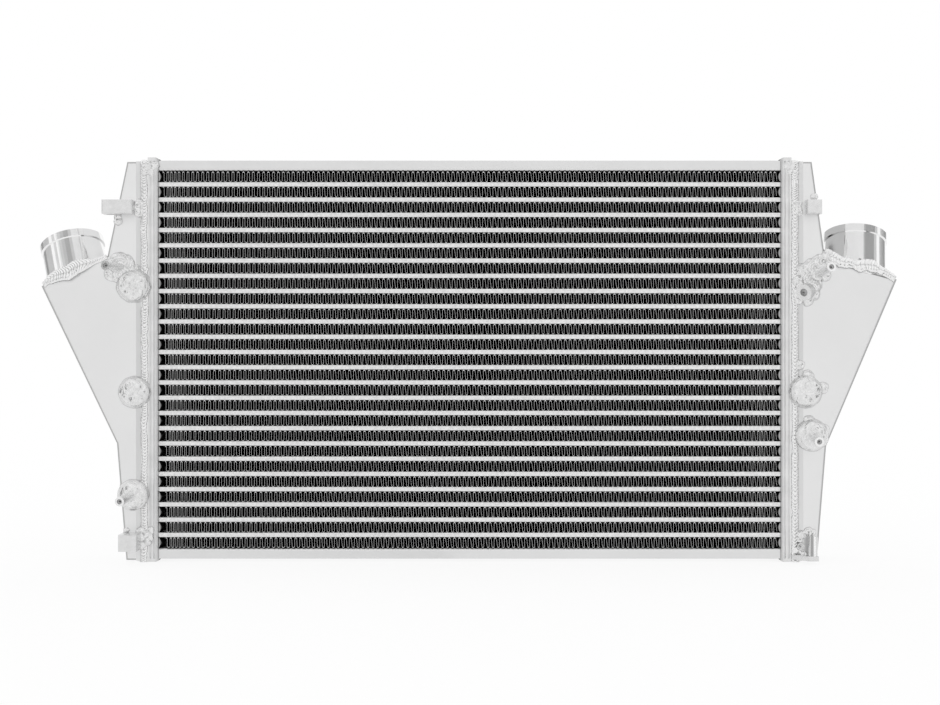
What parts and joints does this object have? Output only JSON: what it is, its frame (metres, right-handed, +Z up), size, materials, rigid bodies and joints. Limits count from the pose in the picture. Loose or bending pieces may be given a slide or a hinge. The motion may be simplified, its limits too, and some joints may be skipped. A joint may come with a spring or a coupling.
{
  "type": "intercooler",
  "caption": "Flat tube-and-fin charge-air cooler with welded sheet-metal end tanks, two slanting hose pipes with rolled lips, bosses and small nipples.",
  "frame": {"origin": "middle of the base of the whole object's box, level with the feet of the two header plates", "axes": "+X across the core towards the right tank as seen from the front, -Y to the front, where the small fittings stand, +Z up towards the pipes"},
  "size_m": [0.8896, 0.1246, 0.416],
  "materials": {
    "tube_aluminium": "mill finish, faintly mottled by brazing",
    "fin_aluminium": "bright thin foil",
    "plate_aluminium": "satin sheet",
    "header_aluminium": "satin sheet",
    "tank_aluminium": "satin sheet",
    "polished_aluminium": "polished",
    "weld_metal": "rippled weld bead",
    "fitting_aluminium": "turned, satin"
  },
  "bodies": {
    "root": {"charge_tube_01": "tube_aluminium", "charge_tube_02": "tube_aluminium", "charge_tube_03": "tube_aluminium", "charge_tube_04": "tube_aluminium", "charge_tube_05": "tube_aluminium", "charge_tube_06": "tube_aluminium", "charge_tube_07": "tube_aluminium", "charge_tube_08": "tube_aluminium", "charge_tube_09": "tube_aluminium", "charge_tube_10": "tube_aluminium", "charge_tube_11": "tube_aluminium", "charge_tube_12": "tube_aluminium", "charge_tube_13": "tube_aluminium", "charge_tube_14": "tube_aluminium", "charge_tube_15": "tube_aluminium", "charge_tube_16": "tube_aluminium", "charge_tube_17": "tube_aluminium", "charge_tube_18": "tube_aluminium", "charge_tube_19": "tube_aluminium", "charge_tube_20": "tube_aluminium", "charge_tube_21": "tube_aluminium", "charge_tube_22": "tube_aluminium", "charge_tube_23": "tube_aluminium", "charge_tube_24": "tube_aluminium", "air_fins": "fin_aluminium", "top_side_plate": "plate_aluminium", "bottom_side_plate": "plate_aluminium", "left_header_plate": "header_aluminium", "left_end_tank": "tank_aluminium", "left_seam_weld": "weld_metal", "left_port_pipe": "polished_aluminium", "right_header_plate": "header_aluminium", "right_end_tank": "tank_aluminium", "right_seam_weld": "weld_metal", "right_port_pipe": "polished_aluminium", "weld_bungs": "fitting_aluminium", "hose_nipples": "fitting_aluminium", "tilted_bung": "fitting_aluminium", "left_fixing_lug": "fitting_aluminium", "right_fixing_lug": "fitting_aluminium", "lower_block": "fitting_aluminium", "foot_bracket": "fitting_aluminium", "locating_pin": "polished_aluminium"}
  },
  "joints": []
}
